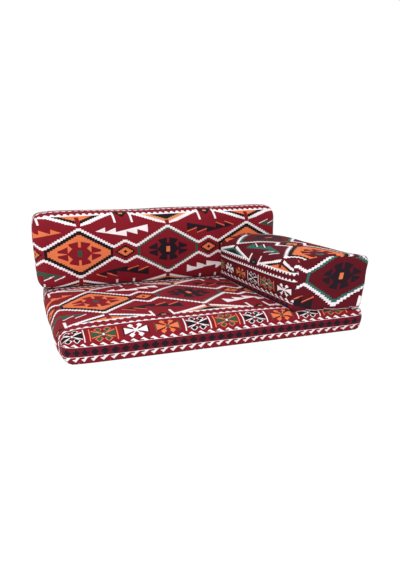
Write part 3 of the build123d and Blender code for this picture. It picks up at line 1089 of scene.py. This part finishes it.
def make_seat():
    """The seat mattress, flat under the back and the arm."""
    cushion = Cushion("seat", "seat", (32.2, 36, 28), 9, 5)
    x, y, z = cushion.rest.T / MM
    under_back = ramp(y, 190, 222) * (z > 60)
    under_arm = ramp(x, 205, 238) * ramp(y, -385, -350) * (z > 60)
    free = ramp(z, 3, 22) * (1 - under_back) * (1 - under_arm)
    panels = end_panels(cushion)
    points = shaped(cushion, np.where(y > REAR_FACE, 2, 5) * free * MM, panels)
    # stuffing that has left the front left corner, and pushed out the front right one
    points = cushion.pushed(points, ((-492, -375, 20), 120, (10, 4, 0)),
                            ((508, -375, 50), 120, (19, 0, 0)),
                            ((508, -375, 26), 26, (-7.6, 0, 0)))
    points[:, 0] += (1 - ramp(x, -492, -420)) * (1 - ramp(y, -80, 40)) * 4.5 * MM
    points = squared(points, 16, z, y + 375, (0, -0.6))
    # the arm's drooping foot presses the nose in under it
    pressed = ramp(x, 232, 262) * (1 - ramp(np.abs(y + 356), 8, 24)) * ramp(z, 66, 80)
    points[:, 2] -= pressed * 4 * MM
    ripple(cushion, points, 2, free * ramp(z, 40, 80),
           [(1.1, 88, 61, 40, 0.4), (0.8, 41, 97, 55, 2.0)])
    ripple(cushion, points, 1, free * (y < -300),
           [(0.9, 52, 70, 19, 1.1), (0.7, 31, 80, 33, 0.2)])
    dress(cushion, points, panels, [seat_cloth, seat_end_cloth, seat_rear_cloth], main_kilim,
          ["top_front_cover", "left_end_panel", "right_end_panel", "rear_upper_strip",
           "rear_lower_strip"])


def make_back():
    """The back cushion, flat where it stands on the seat and behind the arm."""
    cushion = Cushion("back", "back_cushion", (44.2, 40, 44), 9, 6)
    x, y, z = cushion.rest.T / MM
    by_arm = ramp(x, 205, 238) * (1 - ramp(z, 352, 372)) * (y < 300)
    free = ramp(z, 92, 116) * (1 - by_arm)
    panels = end_panels(cushion)
    points = shaped(cushion, np.where(y > REAR_FACE, 3, 6) * free * MM, panels)
    # the left end swells above its middle and draws in at its foot
    points = cushion.pushed(points, ((-508, 270, 300), 170, (-6, 0, 0)),
                            ((-508, 240, 96), 70, (5, 0, 0)))
    ripple(cushion, points, 1, free * (y < 260),
           [(1.3, 83, 90, 52, 0.9), (0.9, 47, 60, 31, 2.6)])
    ripple(cushion, points, 2, free * (z > 330),
           [(1.2, 64, 40, 90, 1.7), (0.8, 150, 40, 90, 0.3)])
    dress(cushion, points, panels, [back_cloth, back_end_cloth, back_rear_cloth], main_kilim,
          ["front_top_cover", "left_end_panel", "right_end_panel", "rear_upper_panel",
           "rear_lower_strip"])


def make_arm():
    """The arm cushion, flat where it stands on the seat and against the back. The side cover
    wraps round onto the front, so its seam slopes."""
    cushion = Cushion("arm", "arm_cushion", (42, 42, 40), 8, 6)
    x, y, z = cushion.rest.T / MM
    free = ramp(z, 92, 112) * (1 - ramp(y, 200, 218))
    middle, facing = cushion.middles()
    middle = middle / MM
    wrapped = (middle[:, 0] < 252 + 0.15 * (middle[:, 2] - 88)) & (middle[:, 2] < 214)
    panels = np.where((facing[:, 1] < -SIDE_FACING) & ~wrapped, 1,
                      np.where(facing[:, 1] > SIDE_FACING, 2, 0))
    points = shaped(cushion, 4.5 * free * MM, panels)
    # the foot's edge is square in front and inside, and hangs over the seat's nose
    corner_x, corner_y = ARM_CORNER
    outward = (-math.sin(ARM_TURN), -math.cos(ARM_TURN))
    front = -(y - corner_y) * outward[1] - (x - corner_x) * outward[0]
    points = squared(points, 18, z - ARM_FOOT, x - arm_side(y), (-1, 0))
    points = squared(points, 18, z - ARM_FOOT, front, outward)
    droop = (1 - ramp(z - 88, 0, 44)) * (1 - ramp(front, 0, 24))
    points[:, 2] -= droop * (7 + 3 * ramp(x, 260, 480)) * MM
    # the front's outer edge bulges and the top's front outer corner is well filled
    bulge = ramp(x, 360, 488) * (1 - ramp(front, 0, 96))
    points[:, 0] += bulge * np.interp(z, (88, 165, 254), (18, 23, 8)) * MM
    points = cushion.pushed(points, ((508, -379, 250), 96, (5, -2, 0)),
                            ((505, -376, 256), 70, (6, -3, 6)))
    ripple(cushion, points, 2, free * (z > 235),
           [(1.2, 60, 71, 44, 0.2), (0.9, 37, 43, 60, 1.9)])
    ripple(cushion, points, 0, free * (x < 290) * (z < 235),
           [(1.1, 90, 66, 37, 0.7), (0.8, 60, 35, 52, 2.2)])
    dress(cushion, points, panels, [arm_cloth, arm_front_cloth, arm_rear_cloth], arm_kilim,
          ["side_top_cover", "front_panel", "rear_panel", "outer_upper_panel",
           "outer_lower_strip"])
    pale_hem(cushion, points)


make_seat()
make_back()
make_arm()


# ---- zips and fittings

for node_name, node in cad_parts.items():
    if not node.hide_render:
        node.data.materials.clear()
        node.data.materials.append(tape_cloth if node_name.endswith("_tape") else
                                   coil_nylon if node_name.endswith("_coil") else nickel)


# ---- camera, light and floor

FOCAL = 32.774
EYE = (-0.57308, -1.78738, 0.54458)
RIGHT = (0.94231, -0.3347, -0.00514)
UP = (0.07911, 0.20776, 0.97498)
FORWARD = (0.32525, 0.91914, -0.22225)
WHITE = (1, 1, 1, 1)

scene = bpy.context.scene
camera_data = bpy.data.cameras.new("camera")
camera_data.lens = FOCAL
camera_data.sensor_width = 36.0
scene.camera = in_scene("camera", camera_data)
scene.camera.matrix_world = Matrix(
    [(RIGHT[a], UP[a], -FORWARD[a], EYE[a]) for a in range(3)] + [(0, 0, 0, 1)])


def soft_lamp(name, place, size, power):
    """A square of soft light that shines on the sofa."""
    data = bpy.data.lights.new(name, "AREA")
    data.shape = "RECTANGLE"
    data.size, data.size_y = size
    data.energy = power
    lamp = in_scene(name, data)
    lamp.location = place
    lamp.rotation_mode = "QUATERNION"
    lamp.rotation_quaternion = (Vector((0, 0, 0.1)) - Vector(place)).to_track_quat("-Z", "Y")


soft_lamp("key", (-1.9, -2.2, 2.0), (1.8, 1.8), 64)
soft_lamp("fill", (2.4, -1.8, 1.4), (2.0, 1.6), 12)
soft_lamp("top", (0.2, 0.4, 2.8), (2.4, 2.0), 16)


def seen_white(tree):
    """1 where a ray arrives from the camera or off a glossy surface."""
    rays = add_node(tree, "ShaderNodeLightPath")
    return add_node(tree, "ShaderNodeMath",
                    {0: rays["Is Camera Ray"], 1: rays["Is Glossy Ray"]}, operation="MAXIMUM")[0]


# white to look at, and dimmer where it lights the sofa
scene.world = bpy.data.worlds.new("studio")
scene.world.use_nodes = True
sky = scene.world.node_tree
sky.nodes.clear()
plain, shown = [add_node(sky, "ShaderNodeBackground", {0: WHITE, 1: strength})[0]
                for strength in (0.62, 1)]
both = add_node(sky, "ShaderNodeMixShader", {0: seen_white(sky), 1: plain, 2: shown})
add_node(sky, "ShaderNodeOutputWorld", {0: both[0]})

corners = [(-9, -9, 0), (9, -9, 0), (9, 9, 0), (-9, 9, 0)]
floor = in_scene("floor", new_mesh("floor", corners, [], [(0, 1, 2, 3)]))
floor.location.z = -0.6 * MM
floor_look = bpy.data.materials.new("pale_floor")
floor_look.use_nodes = True
ground = floor_look.node_tree
ground.nodes.clear()
matt = add_node(ground, "ShaderNodeBsdfDiffuse", {0: (0.9, 0.9, 0.9, 1)})
glow = add_node(ground, "ShaderNodeEmission", {0: WHITE, 1: 1.12})
share = add_node(ground, "ShaderNodeMath", {0: seen_white(ground), 1: 0.8},
                 operation="MULTIPLY")
floor_mix = add_node(ground, "ShaderNodeMixShader", {0: share[0], 1: matt[0], 2: glow[0]})
add_node(ground, "ShaderNodeOutputMaterial", {0: floor_mix[0]})
floor.data.materials.append(floor_look)

scene.view_settings.view_transform = "Standard"
